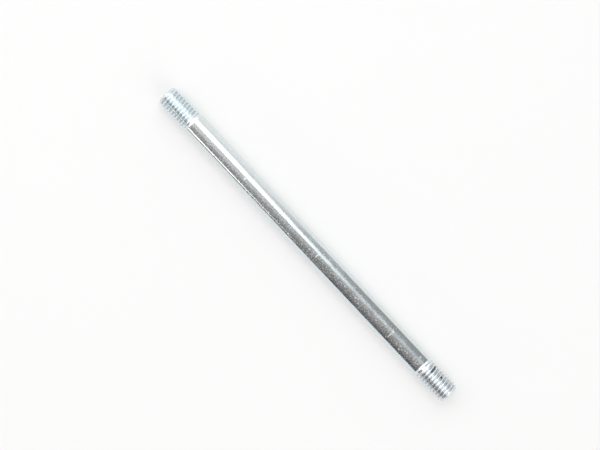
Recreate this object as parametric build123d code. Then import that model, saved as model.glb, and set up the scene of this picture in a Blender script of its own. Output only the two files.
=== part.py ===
"""Double-ended stud bolt: a plain steel shank with a unified coarse thread at each end.

The stud lies along X with its mid-length on the origin and +Z up. Lengths are in millimetres and angles
in degrees. Before its thread is rolled, each end is drawn down from the shank to the thread's pitch
diameter. The rolling then raises the crests and sinks the roots by equal amounts. Both fade out over the
last turn, which leaves a short smooth neck and a conical shoulder before the full shank.
"""

import math
import os

from build123d import *

INCH = 25.4

# Whole stud
LENGTH = 8.5 * INCH  # over both tips
NOMINAL_DIAMETER = 0.5 * INCH  # the thread's size, which the full-bodied shank shares

# Thread, 1/2-13 UNC class 2A, right-hand at both ends
THREADS_PER_INCH = 13
MAJOR_CLEARANCE = 0.15  # crests below the nominal diameter, within the class's limits
FLANK_ANGLE = 60.0  # included angle of the groove
CREST_FLAT = 1 / 8  # share of the pitch
ROOT_FLAT = 1 / 4  # share of the pitch
FULL_THREAD_LENGTH = 17.2  # from the tip to where the runout starts
RUNOUT_TURNS = 1.2
GROOVE_AT_TOP = 1.67  # from the tip to where the groove's centre first crosses the top line

# Chamfered point
POINT_CLEARANCE = 1.0  # point face below the thread's root diameter
POINT_ANGLE = 43.0  # between the chamfer and the axis

# Neck and shoulder
NECK_LENGTH = 0.45
SHOULDER_ANGLE = 30.0  # between the cone and the axis
SHOULDER_RADIUS = 0.25  # blend of the neck into the cone

# Sizes that follow from those above
PITCH = INCH / THREADS_PER_INCH
SHANK_RADIUS = NOMINAL_DIAMETER / 2
MAJOR_RADIUS = (NOMINAL_DIAMETER - MAJOR_CLEARANCE) / 2
FLANK_SLOPE = math.tan(math.radians(FLANK_ANGLE / 2))
THREAD_DEPTH = (1 - CREST_FLAT - ROOT_FLAT) * PITCH / 2 / FLANK_SLOPE
ROOT_RADIUS = MAJOR_RADIUS - THREAD_DEPTH
POINT_RADIUS = ROOT_RADIUS - POINT_CLEARANCE / 2
PITCH_RADIUS = MAJOR_RADIUS - (1 / 2 - CREST_FLAT) * PITCH / 2 / FLANK_SLOPE
RUNOUT_LENGTH = RUNOUT_TURNS * PITCH
CLEARED_DEPTH = 1.1 * (PITCH_RADIUS - ROOT_RADIUS)  # the groove climbs clear of the neck


def blank():
    """The stud before its threads: one outline turned about the axis."""
    chamfer_length = (MAJOR_RADIUS - POINT_RADIUS) / math.tan(math.radians(POINT_ANGLE))
    runout_end = FULL_THREAD_LENGTH + RUNOUT_LENGTH
    neck_end = runout_end + NECK_LENGTH
    shoulder_slant = (SHANK_RADIUS - PITCH_RADIUS) / math.sin(math.radians(SHOULDER_ANGLE))
    shoulder_end = neck_end + shoulder_slant * math.cos(math.radians(SHOULDER_ANGLE))

    tip = -LENGTH / 2
    left = [
        (tip, 0),
        (tip, POINT_RADIUS),
        (tip + chamfer_length, MAJOR_RADIUS),
        (tip + FULL_THREAD_LENGTH, MAJOR_RADIUS),
        (tip + runout_end, PITCH_RADIUS),
        (tip + neck_end, PITCH_RADIUS),
        (tip + shoulder_end, SHANK_RADIUS),
    ]
    right = [(-x, radius) for x, radius in reversed(left)]
    outline = make_face(Polyline(*left, *right, close=True))

    # The cone blends into the neck, and meets the shank at a sharp edge.
    necks = [corner for corner in outline.vertices() if abs(abs(corner.X) + neck_end - LENGTH / 2) < 1e-6]
    outline = fillet(necks, min(SHOULDER_RADIUS, shoulder_slant))
    return revolve(outline, Axis.X)


def groove_turns():
    """The groove's path as (turns, slope) stretches: level for the full thread, then climbing out of it.

    No stretch is longer than one turn. The path starts one pitch outside the tip.
    """
    level_turns = (FULL_THREAD_LENGTH + PITCH) / PITCH
    climb = math.atan(CLEARED_DEPTH / RUNOUT_LENGTH)
    path = []
    for turns, slope in ((level_turns, 0), (RUNOUT_TURNS, climb)):
        count = math.ceil(turns)
        path += [(turns / count, slope)] * count
    return path


def groove_edges(radius, side):
    """One corner of the groove's section, carried along the path as a chain of helices."""
    half_width = (1 - CREST_FLAT) * PITCH / 2 - (MAJOR_RADIUS - radius) * FLANK_SLOPE
    station = side * half_width - PITCH
    turned = 0
    edges = []
    for turns, slope in groove_turns():
        advance = turns * PITCH
        lead = PITCH / math.cos(slope)
        helix = Edge.make_helix(lead, advance, radius, center=(0, 0, station), angle=math.degrees(slope))
        edges.append(helix.rotate(Axis.Z, turned))
        station += advance
        turned += 360 * turns
        radius += advance * math.tan(slope)
    return edges


def groove():
    """The helical groove between the turns of one thread, as a solid that runs in along +Z from a tip at 0."""
    # Turns of the groove would meet where the flanks run to a sharp crest, so the solid stops half way there.
    outer_radius = MAJOR_RADIUS + CREST_FLAT * PITCH / 4 / FLANK_SLOPE
    corners = [
        groove_edges(ROOT_RADIUS, -1),
        groove_edges(ROOT_RADIUS, 1),
        groove_edges(outer_radius, 1),
        groove_edges(outer_radius, -1),
    ]
    walls = [
        Face.make_surface_from_curves(near, far)
        for corner, following in zip(corners, corners[1:] + corners[:1])
        for near, far in zip(corner, following)
    ]
    first_end = Face(Wire.make_polygon([corner[0] @ 0 for corner in corners], close=True))
    last_end = Face(Wire.make_polygon([corner[-1] @ 1 for corner in corners], close=True))
    skin = Face.sew_faces([first_end, *walls, last_end])[0]

    # The stud's top line is half a turn round from where the path starts.
    phase = 180 - 360 * (GROOVE_AT_TOP + PITCH) / PITCH
    return Rot(0, 0, phase) * Solid(Shell(skin))


def stud_bolt():
    """The whole stud, with the same right-hand thread let into each end."""
    left_groove = Pos(-LENGTH / 2, 0, 0) * Rot(0, 90, 0) * groove()
    right_groove = Rot(0, 0, 180) * left_groove
    stud = blank() - left_groove - right_groove
    return stud.solid()


os.makedirs("parts", exist_ok=True)
export_step(stud_bolt(), "parts/stud_bolt.step")
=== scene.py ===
"""Looks of the double-ended stud bolt: bright zinc plating over a smooth shank and two rolled threads.

Everything is in metres in the CAD frame: the stud lies along X with its mid-length on the origin, +Z up.
Left is towards -X and right towards +X. The near side is the one towards -Y, and the far side the one
towards +Y.
"""

import math

import bpy
import numpy as np
from mathutils import Matrix, Vector


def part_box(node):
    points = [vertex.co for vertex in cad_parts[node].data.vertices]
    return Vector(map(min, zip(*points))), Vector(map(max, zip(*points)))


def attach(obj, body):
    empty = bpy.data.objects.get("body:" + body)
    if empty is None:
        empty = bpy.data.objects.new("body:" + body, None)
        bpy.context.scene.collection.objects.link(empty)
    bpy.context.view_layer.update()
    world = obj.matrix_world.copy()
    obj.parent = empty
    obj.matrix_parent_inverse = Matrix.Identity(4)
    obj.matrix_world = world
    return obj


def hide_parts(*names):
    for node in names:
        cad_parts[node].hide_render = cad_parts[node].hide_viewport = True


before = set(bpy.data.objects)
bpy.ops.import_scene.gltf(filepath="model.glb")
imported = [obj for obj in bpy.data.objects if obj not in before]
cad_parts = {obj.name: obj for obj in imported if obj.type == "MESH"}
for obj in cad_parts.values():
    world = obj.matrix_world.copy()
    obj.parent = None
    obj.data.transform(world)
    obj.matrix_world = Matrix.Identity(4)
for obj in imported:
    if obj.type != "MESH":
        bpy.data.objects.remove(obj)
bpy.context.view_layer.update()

MM = 0.001
MM_PER_INCH = 25.4
DEG = math.pi / 180
NODE = "stud_bolt"
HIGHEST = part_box(NODE)[1]
HALF_LENGTH = HIGHEST.x
SHANK_RADIUS = HIGHEST.z  # the CAD mesh's narrowest half-width, so the round shank stays inside its box

# Thread and ends, as in the part's source
THREADS_PER_INCH = 13
MAJOR_RADIUS = 6.275 * MM
FLANK_ANGLE = 60 * DEG  # included angle of the groove
CREST_FLAT = 1 / 8  # share of the pitch
ROOT_FLAT = 1 / 4  # share of the pitch
FULL_THREAD_LENGTH = 17.2 * MM
RUNOUT_TURNS = 1.2
GROOVE_AT_TOP = 1.67 * MM  # from the tip to where the groove's centre first crosses the top line
POINT_CLEARANCE = 1.0 * MM  # point face below the thread's root diameter
POINT_ANGLE = 43 * DEG  # between the chamfer and the axis
NECK_LENGTH = 0.45 * MM
SHOULDER_ANGLE = 30 * DEG  # between the cone and the axis

# Sizes that follow from those above
PITCH = MM_PER_INCH / THREADS_PER_INCH * MM
FLANK_SLOPE = math.tan(FLANK_ANGLE / 2)
THREAD_DEPTH = (1 - CREST_FLAT - ROOT_FLAT) * PITCH / 2 / FLANK_SLOPE
ROOT_RADIUS = MAJOR_RADIUS - THREAD_DEPTH
POINT_RADIUS = ROOT_RADIUS - POINT_CLEARANCE / 2
PITCH_RADIUS = MAJOR_RADIUS - (1 / 2 - CREST_FLAT) * PITCH / 2 / FLANK_SLOPE
RUNOUT_LENGTH = RUNOUT_TURNS * PITCH
CLEARED_DEPTH = 1.1 * (PITCH_RADIUS - ROOT_RADIUS)  # the groove climbs clear of the neck

# Distances from either tip
RUNOUT_END = FULL_THREAD_LENGTH + RUNOUT_LENGTH
NECK_END = RUNOUT_END + NECK_LENGTH
SHANK_EDGE = NECK_END + (SHANK_RADIUS - PITCH_RADIUS) / math.tan(SHOULDER_ANGLE)

# Rounding, as the difference in height over which two surfaces blend
ROOT_ROUNDING = 0.42 * MM
CREST_ROUNDING = 0.70 * MM
SHOULDER_ROUNDING = 0.05 * MM  # neck into cone
SHOULDER_BLEND_REACH = 0.4 * MM  # how far before the cone the neck starts to blend into it
POINT_ROUNDING = 0.03 * MM  # chamfer into crests
CREST_GAP = CREST_FLAT * PITCH / 2 / FLANK_SLOPE  # from a crest to where its flanks would meet
CREST_SHARE = 0.5 + 0.5 * CREST_GAP / CREST_ROUNDING
# What the rounding would take off a crest
CREST_LIFT = (CREST_ROUNDING * CREST_SHARE - CREST_GAP) * (1 - CREST_SHARE)

# Rings of the mesh
SEGMENTS = 96
THREAD_STEP = 0.085 * MM
THREAD_MARGIN = 0.30 * MM  # the thread's close rings run this far up the cone
CONE_RINGS = 5
CONE_START = 0.42 * MM  # past the end of the neck
CONE_STOP = 0.05 * MM  # before the shank's edge
EDGE_RINGS = (-0.015 * MM, 0.015 * MM, 0.08 * MM)  # from the shank's edge, which they keep crisp
SHANK_RINGS = 60
SHANK_MARGIN = 0.5 * MM
TIP_RINGS = (0.985, 0.9, 0.6, 0.3)  # shares of the rim's radius; the first keeps its edge crisp


# ---------------------------------------------------------------- shape
def smooth_low(first, second, rounding):
    """The lower of two surfaces, blended over rounding where they meet."""
    share = np.clip(0.5 + 0.5 * (second - first) / rounding, 0, 1)
    return second + (first - second) * share - rounding * share * (1 - share)


def smooth_high(first, second, rounding):
    """The higher of two surfaces, blended over rounding where they meet."""
    return -smooth_low(-first, -second, rounding)


def blank_radius(from_tip):
    """Radius before threading."""
    chamfer = POINT_RADIUS + from_tip * math.tan(POINT_ANGLE)
    fall = np.clip((from_tip - FULL_THREAD_LENGTH) / RUNOUT_LENGTH, 0, 1)
    threaded = MAJOR_RADIUS + (PITCH_RADIUS - MAJOR_RADIUS) * fall
    shoulder = PITCH_RADIUS + np.maximum(from_tip - NECK_END, 0) * math.tan(SHOULDER_ANGLE)
    blended = smooth_high(threaded, shoulder, SHOULDER_ROUNDING)
    radius = np.where(from_tip < NECK_END - SHOULDER_BLEND_REACH, threaded, blended)
    return smooth_low(chamfer, np.minimum(radius, SHANK_RADIUS), POINT_ROUNDING)


def groove_radius(from_tip, turn):
    """Radius of the groove's surface; turn is the angle past the top line, in turns."""
    clear = 1.0  # far outside the bar
    lowest = np.full(np.broadcast(from_tip, turn).shape, clear)
    # The path is followed from two turns outside the tip to past the end of the runout.
    for lap in range(-2, int(RUNOUT_END / PITCH) + 2):
        centre = GROOVE_AT_TOP + PITCH * (turn + lap)
        climb = np.clip((centre - FULL_THREAD_LENGTH) / RUNOUT_LENGTH, 0, None)
        root = ROOT_RADIUS + CLEARED_DEPTH * climb
        flank = root + (np.abs(from_tip - centre) - ROOT_FLAT * PITCH / 2) / FLANK_SLOPE
        surface = np.where(climb > 1.0, clear, smooth_high(flank, root, ROOT_ROUNDING))
        lowest = np.minimum(lowest, surface)
    return lowest


def stud_radius(from_tip, turn):
    """Radius of the finished stud; turn is the angle past the top line, in turns."""
    plain = blank_radius(from_tip)
    lift = CREST_LIFT * np.clip((RUNOUT_END - from_tip) / RUNOUT_LENGTH, 0, 1)
    threaded = smooth_low(plain + lift, groove_radius(from_tip, turn), CREST_ROUNDING)
    return np.where(from_tip < RUNOUT_END + PITCH, threaded, plain)


def stations():
    """Distances from the left tip to the rings of the mesh, over the whole stud."""
    thread_stop = NECK_END + THREAD_MARGIN
    thread = np.linspace(0, thread_stop, int(thread_stop / THREAD_STEP))
    cone = np.linspace(NECK_END + CONE_START, SHANK_EDGE - CONE_STOP, CONE_RINGS)
    end = np.concatenate([thread, cone, SHANK_EDGE + np.array(EDGE_RINGS)])
    shank_start = end[-1] + SHANK_MARGIN
    shank = np.linspace(shank_start, 2 * HALF_LENGTH - shank_start, SHANK_RINGS)
    return np.concatenate([end, shank, 2 * HALF_LENGTH - end[::-1]])


def ring_pairs():
    """Each place round a ring with the one after it."""
    return [(place, (place + 1) % SEGMENTS) for place in range(SEGMENTS)]


def close_tip(verts, faces, rim, order):
    """A flat face inside the ring from vertex rim on; order is 1 at the left tip and -1 at the right."""
    outer = rim
    for share in TIP_RINGS:
        inner = len(verts)
        verts.extend([(x, y * share, z * share) for x, y, z in verts[rim : rim + SEGMENTS]])
        faces.extend([(outer + a, inner + a, inner + b, outer + b)[::order] for a, b in ring_pairs()])
        outer = inner
    centre = len(verts)
    verts.append((verts[rim][0], 0, 0))
    faces.extend([(outer + a, centre, outer + b)[::order] for a, b in ring_pairs()])


def stud_mesh():
    """The whole stud as rings round the X axis, closed by a flat face at each tip."""
    along = stations()[:, None]
    angle = np.arange(SEGMENTS)[None, :] * 2 * math.pi / SEGMENTS
    from_tip = np.minimum(along, 2 * HALF_LENGTH - along)
    # Turns past the top line count the way the right-hand groove runs in from the nearer tip.
    side = np.where(along < HALF_LENGTH, 1.0, -1.0)
    radius = stud_radius(from_tip, side * (angle - math.pi / 2) / (2 * math.pi))
    x = np.broadcast_to(along - HALF_LENGTH, radius.shape)
    rings = np.stack([x, radius * np.cos(angle), radius * np.sin(angle)], -1)

    verts = list(map(tuple, rings.reshape(-1, 3)))
    last_ring = len(verts) - SEGMENTS
    faces = []
    for ring in range(0, last_ring, SEGMENTS):
        following = ring + SEGMENTS
        faces.extend([(ring + a, ring + b, following + b, following + a) for a, b in ring_pairs()])
    close_tip(verts, faces, 0, 1)
    close_tip(verts, faces, last_ring, -1)

    mesh = bpy.data.meshes.new("stud")
    mesh.from_pydata(verts, [], faces)
    mesh.update()
    mesh.shade_smooth()
    return mesh


# ---------------------------------------------------------------- node trees
class Nodes:
    """Short helpers for building a node tree."""

    def __init__(self, tree):
        self.tree = tree

    def new(self, kind, **settings):
        node = self.tree.nodes.new(kind)
        for key, value in settings.items():
            setattr(node, key, value)
        return node

    def link(self, output, socket):
        self.tree.links.new(output, socket)

    def put(self, value, socket):
        """Give a socket its value, which is another node's output or a plain number or colour."""
        if isinstance(value, bpy.types.NodeSocket):
            self.link(value, socket)
        else:
            socket.default_value = value

    def math(self, operation, *values, clamp=False):
        node = self.new("ShaderNodeMath", operation=operation, use_clamp=clamp)
        for value, socket in zip(values, node.inputs):
            self.put(value, socket)
        return node.outputs[0]

    def product(self, first, *others):
        for other in others:
            first = self.math("MULTIPLY", first, other)
        return first

    def ramp(self, value, low, high, out_low=0.0, out_high=1.0):
        """From out_low at low to out_high at high, eased at both ends."""
        node = self.new("ShaderNodeMapRange", interpolation_type="SMOOTHSTEP")
        for setting, socket in zip((value, low, high, out_low, out_high), node.inputs):
            self.put(setting, socket)
        return node.outputs[0]

    def window(self, value, low, high, soft):
        """1 between low and high, with edges that fade over soft either way."""
        rise = self.ramp(value, low - soft, low + soft)
        fall = self.ramp(value, high - soft, high + soft, 1.0, 0.0)
        return self.product(rise, fall)

    def mix(self, factor, first, second):
        """The first colour at factor 0 and the second at 1."""
        node = self.new("ShaderNodeMix", data_type="RGBA")
        self.put(factor, node.inputs[0])
        self.put(first, node.inputs[6])
        self.put(second, node.inputs[7])
        return node.outputs[2]

    def noise(self, point, scale, detail, rough):
        node = self.new("ShaderNodeTexNoise")
        self.put(point, node.inputs["Vector"])
        node.inputs["Scale"].default_value = scale
        node.inputs["Detail"].default_value = detail
        node.inputs["Roughness"].default_value = rough
        return node.outputs[0]


def new_material(name):
    """A material, the helpers for its tree, and its Principled shader."""
    material = bpy.data.materials.new(name)
    material.use_nodes = True
    return material, Nodes(material.node_tree), material.node_tree.nodes["Principled BSDF"]


# ---------------------------------------------------------------- zinc plating
# Along the stud
THREAD_START = 1.5 * MM  # where a thread's own plating starts, from its tip
THREAD_STOP = 19.4 * MM
THREAD_FADE = 0.4 * MM
TONE_REACH = 90 * MM  # either side of the middle, from the left thread's tones to the right one's

# Round the stud: the angles from the top between which a part of the circle sets in. The first two count
# towards either side, and all that follow count towards the near side, so they are negative on the far one.
ASIDE = (12 * DEG, 52 * DEG)
LOW_DOWN = (43 * DEG, 62 * DEG)
NEAR_SIDE = (-8 * DEG, 14 * DEG)
FAR_SIDE = (-14 * DEG, -36 * DEG)

# Arcs that are covered, and the fades at arcs' ends
GRAINY_ARC = (3 * DEG, 33 * DEG)
RIGHT_NEAR_SHADE_ARC = (26 * DEG, 44 * DEG)
WIDE_FADE = 9 * DEG
SHARP_FADE = 2.5 * DEG

# Noise scales, per metre
FINE_GRAIN = 4200.0
GRAIN = 1250.0
BLOTCHES = 160.0
SLOW_PATCHES = 28.0

# Relief of the grain
BUMP_HEIGHT = 0.02 * MM
BUMP_STRENGTH = 0.27

# Painted shade down each groove: its half-width in pitches, how dark it is, and what places add to either
BAND_FLOOR = 0.03  # the darkest part
BAND_WIDTH = 0.21
WIDER_DOWN_FAR_SIDE = 0.12
WIDER_NEAR = -0.02
BAND_DARKNESS = 0.36
DARKER_ASIDE = 0.55
DARKER_NEAR = 0.18
DARKER_FAR_RIGHT = -0.25

# Roughness of the plain plating, and what other things add to it
PLATING_ROUGHNESS = (0.14, 0.20)
SPECK_ROUGHNESS = 0.22
THREAD_ROUGHNESS = 0.04
GROOVE_ROUGHNESS = 0.02
MARK_ROUGHNESS = 0.35
GRIME_ROUGHNESS = 0.4

# Colours
BLUE_WHITE = (0.740, 0.797, 0.817, 1)
GREYER_PATCH = (0.755, 0.785, 0.775, 1)
DARK_GRAIN = (0.46, 0.49, 0.49, 1)
PALE_GRAIN = (0.97, 0.985, 0.99, 1)
# Crest tones, paler than the plating as a painted highlight, and bluer on the left thread
CREST_TONES_AND_HIGHLIGHTS = ((0.825, 0.91, 0.945, 1), (0.845, 0.885, 0.92, 1))  # left thread and right
# Painted shade in the grooves, darker on the right thread than on the left
GROOVE_SHADE_TONES = ((0.545, 0.625, 0.68, 1), (0.52, 0.53, 0.565, 1))  # left thread and right
# Painted shade on the crests of the right thread's far side
SHADED_CREST = (0.79, 0.825, 0.86, 1)
# Painted shade, darker still, for grooves low down on the far side and on the near side
LOW_GROOVE_SHADE_TONES = ((0.33, 0.36, 0.38, 1), (0.24, 0.265, 0.28, 1))  # far side and near
PALE_MARK = (0.93, 0.94, 0.95, 1)
BLACK_GRIME = (0.025, 0.027, 0.025, 1)
# Painted shade for the right thread's near side
RIGHT_NEAR_SHADE_GREY = (0.45, 0.45, 0.455, 1)

# Handling marks on the shank: (station x in mm, first and last angle from the top towards the near side in
# degrees, half-width in mm, strength). Pale ticks run round the bar, and spots are short ones.
MARKS = (
    (-51.7, 8, 30, 0.30, 0.35),
    (-47.2, -8, 12, 0.38, 0.8),
    (-46.6, 12, 30, 0.25, 0.3),
    (-29.0, 8, 13, 0.45, 0.4),
    (-26.3, 30, 37, 0.75, 1.0),
    (-19.9, 30, 35, 0.55, 0.7),
    (-11.0, 30, 36, 0.85, 0.9),
    (7.6, -7, 17, 0.38, 0.8),
    (37.4, 5, 10, 0.60, 0.9),
    (42.2, -8, 34, 0.25, 0.3),
    (63.6, -18, 26, 0.32, 0.6),
    (72.4, 23, 29, 0.50, 0.6),
    (83.0, -27, -19, 0.65, 0.6),
)

# Grime in the right thread, placed by turns along its groove, from where it first crosses the top line, and
# by angle from the top
STREAK_TURN = 7.04
STREAK_EDGE = (0.10, 0.21)  # in turns either side
STREAK_START = (-84 * DEG, -68 * DEG)
STREAK_THINS = (-16 * DEG, -3 * DEG)
STREAK_STOP = (15 * DEG, 35 * DEG)
DOT_TURNS = (3.84, 4.28)
DOT_TURN_FADE = 0.06
DOT_ARC = (-45 * DEG, -31 * DEG)


class Place:
    """Where a point lies on the stud, as sockets that the functions below share."""

    def __init__(self, nodes):
        self.point = nodes.new("ShaderNodeTexCoord").outputs["Object"]
        split = nodes.new("ShaderNodeSeparateXYZ")
        nodes.link(self.point, split.inputs[0])
        self.x, y, z = split.outputs
        self.from_tip = nodes.math("SUBTRACT", HALF_LENGTH, nodes.math("ABSOLUTE", self.x))
        self.in_thread = nodes.window(self.from_tip, THREAD_START, THREAD_STOP, THREAD_FADE)
        self.rightward = nodes.ramp(self.x, -TONE_REACH, TONE_REACH)

        # Round the stud: the angle from the top towards the near side, and parts of the circle
        self.past_top = nodes.math("ARCTAN2", nodes.product(y, -1.0), z)
        off_top = nodes.math("ABSOLUTE", self.past_top)
        self.aside = nodes.ramp(off_top, *ASIDE)
        self.low_down = nodes.ramp(off_top, *LOW_DOWN)
        self.near = nodes.ramp(self.past_top, *NEAR_SIDE)
        self.far_right = nodes.product(self.rightward, nodes.ramp(self.past_top, *FAR_SIDE))


def grain(nodes, at):
    """The plating's grain: how much it shows, its noise and its pale specks."""
    # It is strongest on the near side, just past the top.
    strongest = nodes.window(at.past_top, *GRAINY_ARC, WIDE_FADE)
    shows = nodes.math("MULTIPLY_ADD", strongest, 0.85, 0.45)
    noise = nodes.noise(at.point, GRAIN, 3.0, 0.6)
    specks = nodes.product(nodes.ramp(noise, 0.50, 0.72), shows)
    return shows, noise, specks


def plating(nodes, at, shows, noise, specks):
    """Colour and roughness of the plain plating: blue-white, greyer in slow patches, and grained."""
    slow = nodes.noise(at.point, SLOW_PATCHES, 2.0, 0.5)
    blotch = nodes.noise(at.point, BLOTCHES, 3.0, 0.55)
    colour = nodes.mix(nodes.ramp(slow, 0.3, 0.7, 0.0, 0.35), BLUE_WHITE, GREYER_PATCH)
    dark = nodes.product(nodes.ramp(noise, 0.25, 0.55, 0.74, 0.0), shows)
    colour = nodes.mix(dark, colour, DARK_GRAIN)
    colour = nodes.mix(nodes.product(specks, 0.68), colour, PALE_GRAIN)
    rough = nodes.ramp(blotch, 0.3, 0.75, *PLATING_ROUGHNESS)
    rough = nodes.math("ADD", rough, nodes.product(specks, SPECK_ROUGHNESS))
    return colour, rough


def groove_shade(nodes, at):
    """How much painted shade the groove puts on a point of a thread."""
    # The distance from the groove's middle is in pitches: 0 in the groove and 0.5 on the crest.
    turns_in = nodes.math("DIVIDE", nodes.math("SUBTRACT", at.from_tip, GROOVE_AT_TOP), PITCH)
    # A right-hand groove turns the other way at the right end.
    turned = nodes.product(nodes.math("SIGN", at.x), -1.0, at.past_top, 1 / (2 * math.pi))
    off_centre = nodes.math("PINGPONG", nodes.math("SUBTRACT", turns_in, turned), 0.5)
    # The painted shade widens down the far side, and darkens down both sides, most of all on the near one.
    down_far_side = nodes.product(at.aside, nodes.math("SUBTRACT", 1.0, at.near))
    width = nodes.math("MULTIPLY_ADD", down_far_side, WIDER_DOWN_FAR_SIDE, BAND_WIDTH)
    width = nodes.math("MULTIPLY_ADD", at.near, WIDER_NEAR, width)
    darkness = nodes.math("MULTIPLY_ADD", at.aside, DARKER_ASIDE, BAND_DARKNESS)
    darkness = nodes.math("MULTIPLY_ADD", at.near, DARKER_NEAR, darkness)
    # The painted shade is fainter on the right thread's far side.
    fainter = nodes.math("MULTIPLY_ADD", at.far_right, DARKER_FAR_RIGHT, 1.0)
    band = nodes.ramp(off_centre, BAND_FLOOR, width, 1.0, 0.0)
    return nodes.product(band, at.in_thread, darkness, fainter)


def thread_plating_and_shade(nodes, at, colour, rough):
    """The plating with its threads: pale crests with a painted highlight, painted shade on the crests at
    the far right, and frosted grooves darkened by painted shade.
    """
    crests = nodes.mix(at.far_right, nodes.mix(at.rightward, *CREST_TONES_AND_HIGHLIGHTS), SHADED_CREST)
    grooves = nodes.mix(at.rightward, *GROOVE_SHADE_TONES)
    darker = nodes.product(at.low_down, nodes.math("MULTIPLY_ADD", at.near, 0.15, 0.65))
    shaded_grooves = nodes.mix(darker, grooves, nodes.mix(at.near, *LOW_GROOVE_SHADE_TONES))
    shade = groove_shade(nodes, at)
    # The threads take the paler crest tone: a painted highlight
    colour = nodes.mix(nodes.product(at.in_thread, 0.7), colour, crests)
    # The groove tone lies lightly over the threads low down on both sides: painted shade
    colour = nodes.mix(nodes.product(at.in_thread, at.low_down, 0.12), colour, grooves)
    # Painted shade down each groove, darker low down and on the near side
    colour = nodes.mix(nodes.product(shade, 0.95), colour, shaded_grooves)
    rough = nodes.math("ADD", rough, nodes.product(at.in_thread, THREAD_ROUGHNESS))
    rough = nodes.math("ADD", rough, nodes.product(shade, GROOVE_ROUGHNESS))
    return colour, rough


def handling_marks(nodes, at):
    """How strongly the pale marks cover a point."""
    x_mm = nodes.product(at.x, 1 / MM)
    marks = 0.0
    for station, first, last, half_width, strength in MARKS:
        fade = half_width * 0.6
        across = nodes.window(x_mm, station - fade, station + fade, fade)
        around = nodes.window(at.past_top, first * DEG, last * DEG, SHARP_FADE)
        marks = nodes.math("ADD", marks, nodes.product(across, around, strength))
    return marks


def black_grime(nodes, at):
    """How strongly black grime covers a point of the right thread."""
    from_right = nodes.math("SUBTRACT", HALF_LENGTH, at.x)
    turns = nodes.math("DIVIDE", nodes.math("SUBTRACT", from_right, GROOVE_AT_TOP), PITCH)
    turns = nodes.math("ADD", turns, nodes.math("DIVIDE", at.past_top, 2 * math.pi))
    # A streak fills the eighth groove on the far side, and fades out past the top.
    off_streak = nodes.math("ABSOLUTE", nodes.math("SUBTRACT", turns, STREAK_TURN))
    streak = nodes.product(
        nodes.ramp(off_streak, *STREAK_EDGE, 0.9, 0.0),
        nodes.ramp(at.past_top, *STREAK_START),
        nodes.ramp(at.past_top, *STREAK_THINS, 1.0, 0.25),
        nodes.ramp(at.past_top, *STREAK_STOP, 1.0, 0.0),
    )
    # A dot lies in the fifth groove, on the far side.
    around = nodes.window(at.past_top, *DOT_ARC, SHARP_FADE)
    dot = nodes.product(nodes.window(turns, *DOT_TURNS, DOT_TURN_FADE), around, 0.9)
    return nodes.math("ADD", streak, dot, clamp=True)


def right_near_shade(nodes, at):
    """How strongly painted shade, as a grey layer, covers a point: it lies on the right thread's near side.
    """
    around = nodes.window(at.past_top, *RIGHT_NEAR_SHADE_ARC, WIDE_FADE)
    return nodes.product(around, at.in_thread, at.rightward, 0.48)


def grain_bump(nodes, at, shows, noise):
    """The relief of the plating's grain, as a normal."""
    fine = nodes.noise(at.point, FINE_GRAIN, 2.0, 0.6)
    bump = nodes.new("ShaderNodeBump")
    bump.inputs["Distance"].default_value = BUMP_HEIGHT
    nodes.link(nodes.product(shows, BUMP_STRENGTH), bump.inputs["Strength"])
    nodes.link(nodes.math("MULTIPLY_ADD", fine, 0.5, noise), bump.inputs["Height"])
    return bump.outputs[0]


def zinc():
    """Bright zinc plating, with frosted threads, painted highlight and shade on the threads, handling marks
    and some grime.
    """
    material, nodes, shader = new_material("zinc_plating")
    at = Place(nodes)
    shows, noise, specks = grain(nodes, at)
    colour, rough = plating(nodes, at, shows, noise, specks)
    colour, rough = thread_plating_and_shade(nodes, at, colour, rough)

    # The marks are rougher than the plating, and less like metal.
    marks = handling_marks(nodes, at)
    colour = nodes.mix(nodes.math("MULTIPLY", marks, 0.9, clamp=True), colour, PALE_MARK)
    rough = nodes.math("ADD", rough, nodes.product(marks, MARK_ROUGHNESS))
    metallic = nodes.math("SUBTRACT", 1.0, nodes.math("MULTIPLY", marks, 0.75, clamp=True))

    grime = black_grime(nodes, at)
    # Painted shade on the right thread's near side
    colour = nodes.mix(right_near_shade(nodes, at), colour, RIGHT_NEAR_SHADE_GREY)
    colour = nodes.mix(grime, colour, BLACK_GRIME)
    rough = nodes.math("ADD", rough, nodes.product(grime, GRIME_ROUGHNESS), clamp=True)

    nodes.link(colour, shader.inputs["Base Color"])
    nodes.link(rough, shader.inputs["Roughness"])
    nodes.link(metallic, shader.inputs["Metallic"])
    nodes.link(grain_bump(nodes, at, shows, noise), shader.inputs["Normal"])
    return material


# ---------------------------------------------------------------- floor's material
FLOOR_TONES = ((0.88, 0.88, 0.875, 1), (0.90, 0.90, 0.895, 1))
FLOOR_GLOW = (0.965, 0.965, 0.96, 1)
SHADOW_LIFT = 0.38  # share of the floor that shadows leave alone


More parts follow.
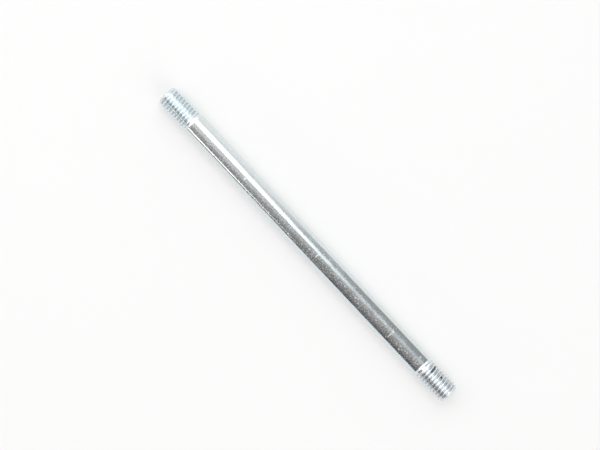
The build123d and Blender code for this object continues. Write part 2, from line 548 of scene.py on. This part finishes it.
def pale_floor():
    """A pale floor, whose shadows are lifted a little for what is seen of it directly or in the metal."""
    material, nodes, shader = new_material("pale_floor")
    tone = nodes.noise(nodes.new("ShaderNodeTexCoord").outputs["Object"], 3.0, 3.0, 0.5)
    nodes.link(nodes.mix(tone, *FLOOR_TONES), shader.inputs["Base Color"])
    shader.inputs["Roughness"].default_value = 0.9
    shader.inputs["Specular IOR Level"].default_value = 0.2

    glow = nodes.new("ShaderNodeEmission")
    glow.inputs["Color"].default_value = FLOOR_GLOW
    rays = nodes.new("ShaderNodeLightPath").outputs
    reflected = nodes.math("MAXIMUM", rays["Is Glossy Ray"], rays["Is Transmission Ray"])
    seen = nodes.math("MAXIMUM", rays["Is Camera Ray"], reflected)
    blend = nodes.new("ShaderNodeMixShader")
    nodes.link(nodes.product(seen, SHADOW_LIFT), blend.inputs[0])
    nodes.link(shader.outputs[0], blend.inputs[1])
    nodes.link(glow.outputs[0], blend.inputs[2])
    nodes.link(blend.outputs[0], material.node_tree.nodes["Material Output"].inputs["Surface"])
    return material


# ---------------------------------------------------------------- the stud and the floor
def add_object(name, data):
    obj = bpy.data.objects.new(name, data)
    bpy.context.scene.collection.objects.link(obj)
    return obj


stud = add_object("stud", stud_mesh())
stud.data.materials.append(zinc())
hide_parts(NODE)
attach(stud, "root")

FLOOR_REACH = 6.0  # from the middle to each edge
FLOOR_CORNERS = ((-1, -1), (1, -1), (1, 1), (-1, 1))
floor_mesh = bpy.data.meshes.new("floor")
floor_verts = [(FLOOR_REACH * x, FLOOR_REACH * y, -SHANK_RADIUS) for x, y in FLOOR_CORNERS]
floor_mesh.from_pydata(floor_verts, [], [(0, 1, 2, 3)])
floor_mesh.materials.append(pale_floor())
floor = add_object("floor", floor_mesh)

# ---------------------------------------------------------------- light
WHITE = (1, 1, 1)
COOL = (0.975, 1.0, 1.025)
WARM = (1.0, 0.94, 0.86)
FAINTLY_WARM = (1.0, 0.96, 0.90)


def leaning(degrees):
    """Direction that leans from straight up towards the far side, or towards the near side below 0."""
    return (0, math.sin(degrees * DEG), math.cos(degrees * DEG))


def panel(name, direction, distance, size, radiance, colour=WHITE, shift=0.0):
    """A soft box that faces the stud's middle, before its shift along X; size is (level side, other)."""
    data = bpy.data.lights.new(name, "AREA")
    data.shape = "RECTANGLE"
    data.size, data.size_y = size
    # A panel of this radiance gives pi times radiance times area in watts.
    data.energy = radiance * math.pi * size[0] * size[1]
    data.color = colour
    lamp = add_object(name, data)
    lamp.visible_camera = False
    z_axis = Vector(direction).normalized()
    lamp.location = z_axis * distance + Vector((shift, 0, 0))
    # Local X stays level, and along the stud for a panel that stands beside it.
    x_axis = Vector((1, 0, 0)) if abs(z_axis.x) < 0.5 else Vector((0, 1, 0))
    x_axis = (x_axis - z_axis * x_axis.dot(z_axis)).normalized()
    lamp.rotation_mode = "QUATERNION"
    lamp.rotation_quaternion = Matrix((x_axis, z_axis.cross(x_axis), z_axis)).transposed().to_quaternion()


# Overhead boxes over the left half, on the far side; the lower one stops short of the middle
panel("box_over", leaning(24), 1.6, (1.2, 0.83), 1.62, COOL, shift=-0.59)
panel("box_over_low", leaning(46), 1.6, (1.1, 0.50), 1.5, shift=-0.61)
# Low panel on the same side
panel("wall_back", leaning(73), 1.8, (2.4, 0.9), 0.62, shift=-1.20)
# Tall narrow boxes beyond the ends, from low down to well above them
for name, side, radiance in (("box_left", -1, 1.07), ("box_right", 1, 1.37)):
    panel(name, (side * 0.70, -0.05, 0.72), 1.7, (1.38, 1.8), radiance)
# Boxes on the near side, off both ends, which soften the shadow there
for name, side, radiance in (("box_front_left", -1, 0.45), ("box_front_right", 1, 0.10)):
    panel(name, (side * 0.55, -0.52, 0.8), 1.7, (0.75, 0.75), radiance)
# Dim panels on the near side over the left half: next to the overhead box, and from there down
panel("fill_over", leaning(-10), 1.7, (1.2, 0.86), 0.29, COOL, shift=-0.66)
panel("fill_front", leaning(-30), 1.7, (1.3, 1.8), 0.145, shift=-0.68)
panel("fill_low", leaning(-64), 1.8, (1.0, 0.5), 0.06, FAINTLY_WARM, shift=-0.44)
# Low strip on the near side, left half
panel("strip_front", leaning(-73.5), 1.8, (0.92, 0.34), 3.0, WARM, shift=-0.54)

# ---------------------------------------------------------------- room
# It is darker towards the near side: stops are the direction's Y, and the room's colour there.
ROOM = (
    (-1.00, (0.060, 0.068, 0.092)),
    (-0.88, (0.138, 0.146, 0.168)),
    (-0.74, (0.272, 0.256, 0.240)),
    (-0.30, (0.330, 0.308, 0.290)),
    (-0.10, (0.410, 0.402, 0.398)),
    (0.10, (0.445, 0.449, 0.458)),
    (0.38, (0.582, 0.589, 0.604)),
    (0.62, (0.345, 0.347, 0.350)),
    (1.00, (0.334, 0.335, 0.330)),
)
RIM_COLOUR = (0.80, 0.80, 0.79, 1)
END_HIGH = (0.38, 0.38, 0.38, 1)
END_LOW = (1.50, 1.50, 1.48, 1)
END_LOW_NEAR = (0.38, 0.38, 0.38, 1)
END_LOW_FAR = (0.60, 0.60, 0.60, 1)

# Where the parts of the room set in or fade out, by the direction's X, Y or Z
RIM_TOP_Z = (0.05, 0.11)
RIM_START_Y = (0.3, 0.6)
END_START_X = (0.22, 0.42)  # either way
LOW_TOP_Z = (0.28, 0.45)
NEAR_START_Y = (-0.54, -0.70)
FAR_START_Y = (0.62, 0.80)


def room_bands(nodes, y):
    """The room's colour by the direction's Y."""
    bands = nodes.new("ShaderNodeValToRGB")
    stops = bands.color_ramp.elements
    while len(stops) < len(ROOM):
        stops.new(0.5)
    for stop, (place, colour) in zip(stops, ROOM):
        stop.position = (place + 1) / 2
        stop.color = (*colour, 1)
    nodes.link(nodes.math("MULTIPLY_ADD", y, 0.5, 0.5), bands.inputs[0])
    return bands.outputs[0]


def studio():
    """The room round the stud, as soft bands by direction."""
    world = bpy.data.worlds.new("studio")
    world.use_nodes = True
    nodes = Nodes(world.node_tree)
    split = nodes.new("ShaderNodeSeparateXYZ")
    nodes.link(nodes.new("ShaderNodeTexCoord").outputs["Generated"], split.inputs[0])
    x, y, z = split.outputs

    # It is pale just above the far edge of the floor.
    rim = nodes.product(nodes.ramp(z, *RIM_TOP_Z, 1.0, 0.0), nodes.ramp(y, *RIM_START_Y))
    sides = nodes.mix(rim, room_bands(nodes, y), RIM_COLOUR)
    # Beyond the ends the walls are pale low down, less so towards the far side, and dim towards the near.
    low = nodes.mix(nodes.ramp(y, *NEAR_START_Y), END_LOW, END_LOW_NEAR)
    low = nodes.mix(nodes.ramp(y, *FAR_START_Y), low, END_LOW_FAR)
    ends = nodes.mix(nodes.ramp(z, *LOW_TOP_Z, 1.0, 0.0), END_HIGH, low)
    colour = nodes.mix(nodes.ramp(nodes.math("ABSOLUTE", x), *END_START_X), sides, ends)

    background = world.node_tree.nodes["Background"]
    background.inputs["Strength"].default_value = 1.0
    nodes.link(colour, background.inputs["Color"])
    return world


bpy.context.scene.world = studio()

# ---------------------------------------------------------------- camera
VIEW_HEIGHT = 1.4
VIEW_WIDTH = 0.3138  # seen across the frame at the stud's axis
VIEW_CENTRE = (-10.16 * MM, 4.02 * MM)
ROLL = 46.74 * DEG
camera_data = bpy.data.cameras.new("camera")
camera_data.lens = camera_data.sensor_width * VIEW_HEIGHT / VIEW_WIDTH
camera_data.clip_start = 0.01
camera_data.clip_end = 50
camera = add_object("camera", camera_data)
camera.location = (*VIEW_CENTRE, VIEW_HEIGHT)
camera.rotation_euler = (0, 0, ROLL)
bpy.context.scene.camera = camera

bpy.context.scene.view_settings.view_transform = "Standard"
